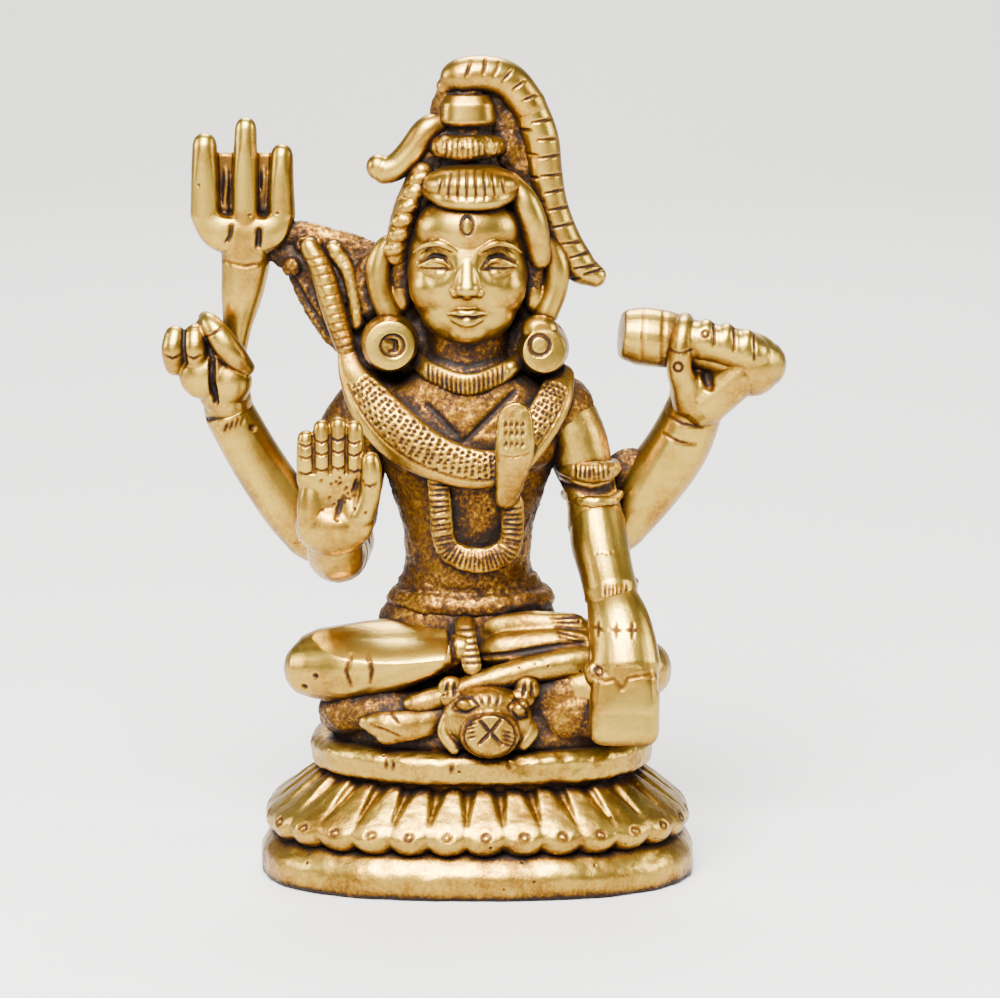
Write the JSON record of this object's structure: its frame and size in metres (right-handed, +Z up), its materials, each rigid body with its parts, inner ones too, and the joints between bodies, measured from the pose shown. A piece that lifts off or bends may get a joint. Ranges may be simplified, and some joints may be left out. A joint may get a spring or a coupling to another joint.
{
  "type": "brass deity statue",
  "caption": "Small cast-brass multi-armed seated deity on a tiger skin and oval lotus base, one raised palm, trident, hourglass drum, serpent collar and a braided topknot.",
  "frame": {"origin": "centre of the flat underside of the oval base", "axes": "+Z up, -Y towards the figure's front, +X to the right of a viewer facing the front"},
  "size_m": [0.0623, 0.0304, 0.0819],
  "materials": {
    "polished_brass": "hand-polished cast brass with dark patina left in the hollows",
    "chased_brass": "chased and punched cast brass, darkened between the marks",
    "aged_brass": "rough as-cast brass with brown patina"
  },
  "bodies": {
    "root": {"armlet": "chased_brass", "back_left_forearm": "polished_brass", "back_left_hand": "polished_brass", "back_left_upper_arm": "polished_brass", "back_right_forearm": "polished_brass", "back_right_hand": "polished_brass", "back_right_upper_arm": "polished_brass", "base_plinth": "polished_brass", "bun_band_lower": "chased_brass", "bun_band_upper": "polished_brass", "cobra_collar": "chased_brass", "cobra_hood": "polished_brass", "crescent_moon": "polished_brass", "damaru_drum": "polished_brass", "flowing_hair": "aged_brass", "front_left_forearm": "polished_brass", "front_left_hand": "polished_brass", "front_left_upper_arm": "polished_brass", "front_right_forearm": "polished_brass", "front_right_hand": "polished_brass", "front_right_upper_arm": "polished_brass", "garland": "chased_brass", "hair_backing": "aged_brass", "hair_braid_crown": "chased_brass", "hair_braid_tail": "chased_brass", "hair_bun": "aged_brass", "hair_cap": "aged_brass", "hair_fringe": "chased_brass", "hair_strand_inner": "chased_brass", "hair_strand_outer": "chased_brass", "head": "polished_brass", "left_ear": "polished_brass", "left_earring": "polished_brass", "left_leg": "polished_brass", "left_side_lock": "chased_brass", "lotus_petal_ring": "chased_brass", "neck_collar": "chased_brass", "right_ear": "polished_brass", "right_earring": "polished_brass", "right_leg": "polished_brass", "right_side_lock": "chased_brass", "sash_end": "chased_brass", "seat_plinth": "polished_brass", "tiger_ear_left": "chased_brass", "tiger_ear_right": "chased_brass", "tiger_head": "chased_brass", "tiger_paw": "chased_brass", "tiger_skin": "aged_brass", "torso": "polished_brass", "trident": "polished_brass", "waistband": "chased_brass"}
  },
  "joints": []
}
